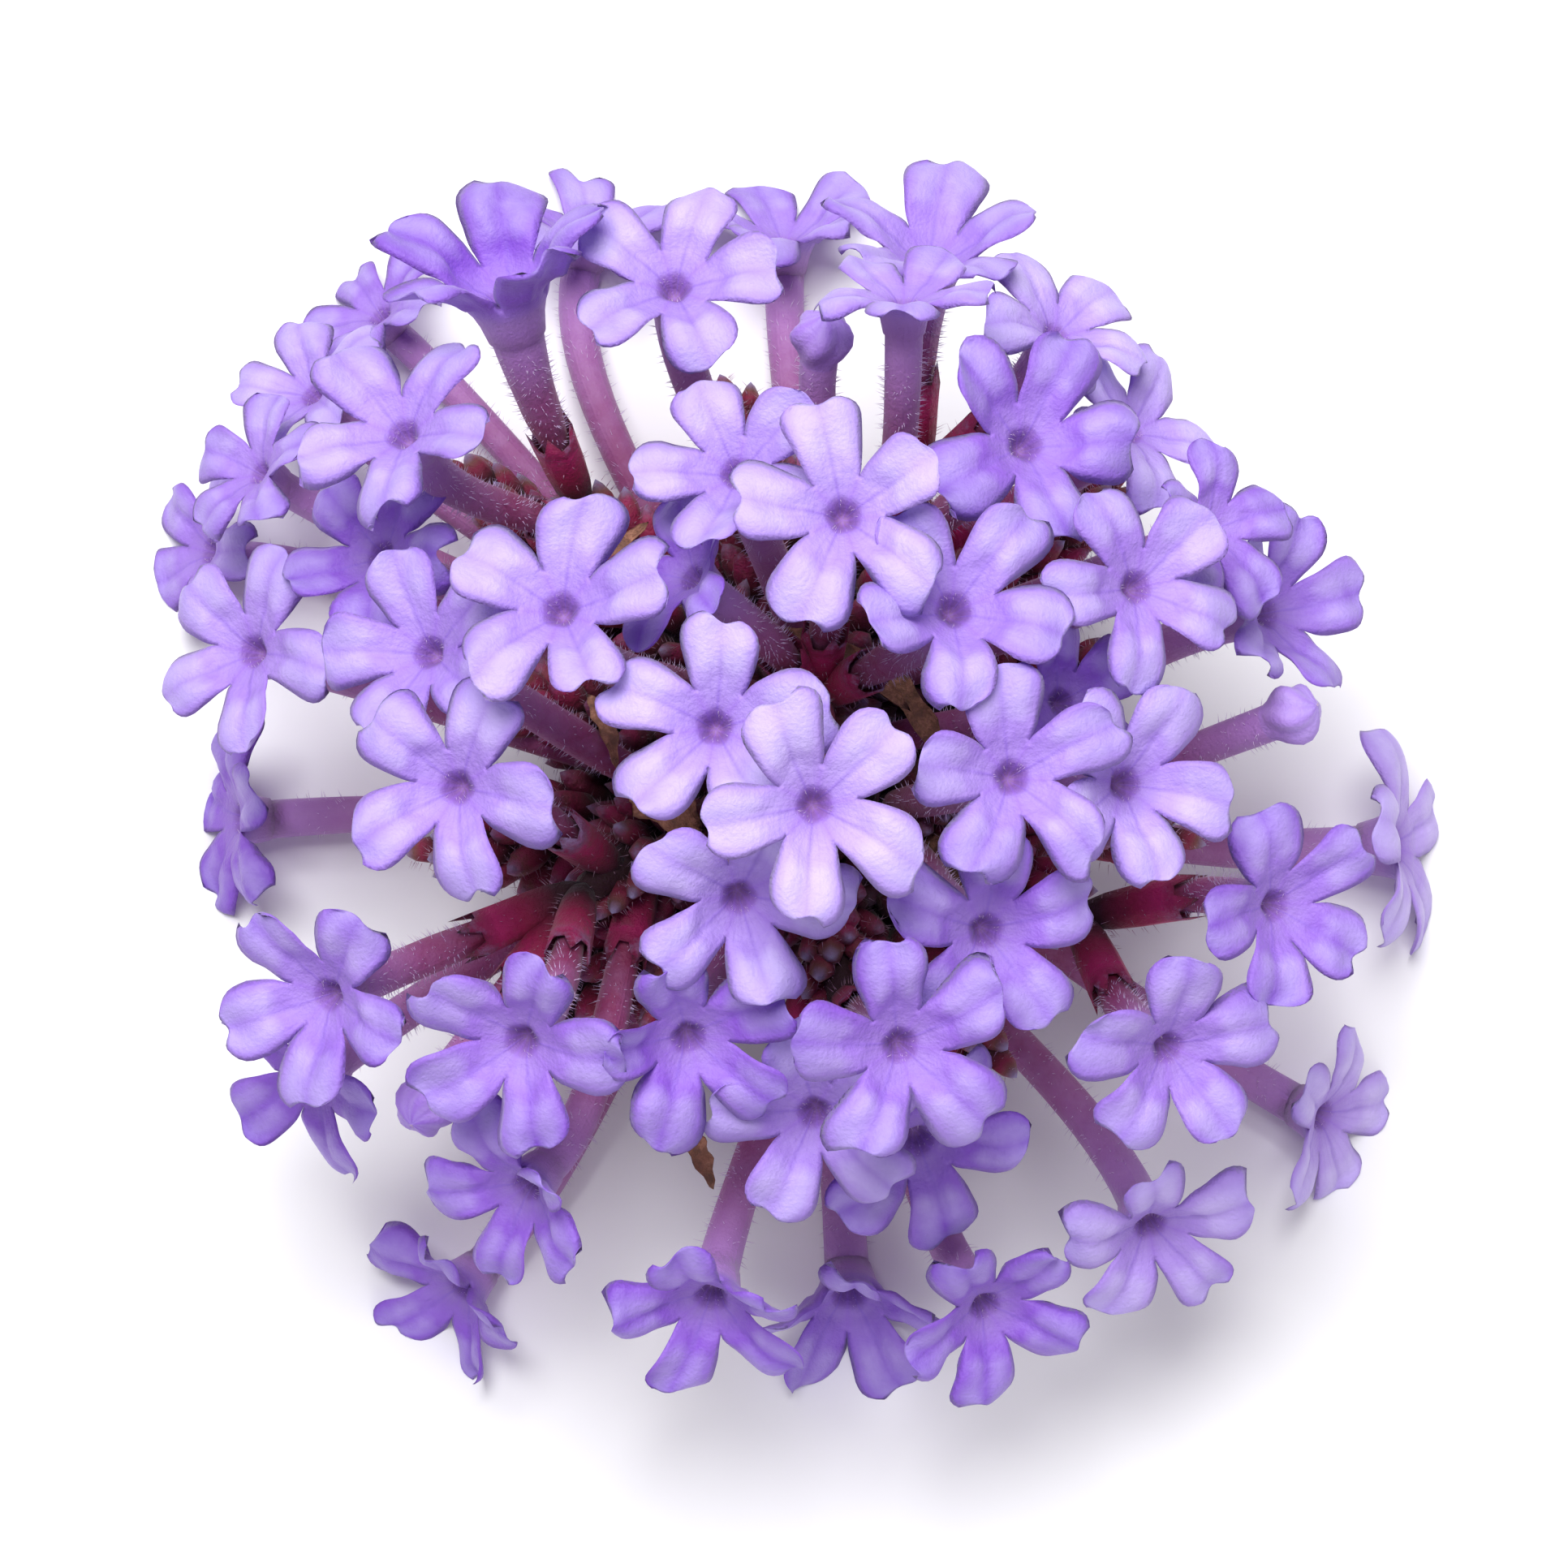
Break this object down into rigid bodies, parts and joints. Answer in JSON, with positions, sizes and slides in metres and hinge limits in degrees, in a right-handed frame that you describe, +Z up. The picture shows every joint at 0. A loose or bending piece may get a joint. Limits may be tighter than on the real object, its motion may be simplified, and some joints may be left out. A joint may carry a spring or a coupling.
{
  "type": "verbena flower head, one picked head without its leaves",
  "caption": "Domed verbena flower head: slender-tubed, five-lobed lilac florets in crimson calyces on a short cut stem.",
  "frame": {"origin": "on the surface the head rests on, under the middle of its bounding box", "axes": "+Z up through the top of the dome; the picture looks down from the -Y side at about 76 degrees, with +X to its right"},
  "size_m": [0.0372, 0.0374, 0.0221],
  "materials": {
    "petal": "soft matte lilac petal, mauve tube with fine pale hairs",
    "bud": "matte mauve-lilac bud",
    "calyx": "matte hairy crimson with olive tips",
    "stem": "matte olive green, slightly rough",
    "dry_bract": "dry matte brown"
  },
  "bodies": {
    "root": {"floret_01": "petal", "floret_02": "petal", "floret_03": "petal", "floret_04": "petal", "floret_05": "petal", "floret_07": "petal", "floret_08": "petal", "floret_09": "petal", "floret_10": "petal", "floret_11": "petal", "floret_12": "petal", "floret_13": "petal", "floret_15": "petal", "floret_16": "petal", "floret_17": "petal", "floret_18": "petal", "floret_19": "petal", "floret_20": "petal", "floret_21": "petal", "floret_22": "petal", "floret_23": "petal", "floret_24": "petal", "floret_25": "petal", "floret_26": "petal", "floret_28": "petal", "floret_29": "petal", "floret_30": "petal", "floret_31": "petal", "floret_32": "petal", "floret_33": "petal", "floret_34": "petal", "floret_35": "petal", "floret_36": "petal", "floret_37": "petal", "floret_38": "petal", "floret_39": "petal", "floret_40": "petal", "floret_41": "petal", "floret_42": "petal", "floret_43": "petal", "floret_44": "petal", "floret_45": "petal", "floret_46": "petal", "floret_47": "petal", "floret_48": "petal", "floret_49": "petal", "floret_50": "petal", "floret_51": "petal", "floret_52": "petal", "floret_53": "petal", "floret_55": "petal", "bud_1": "bud", "bud_2": "bud", "bud_4": "bud", "calyces": "calyx", "stem": "stem", "dry_bract_1": "dry_bract", "dry_bract_2": "dry_bract"}
  },
  "joints": []
}
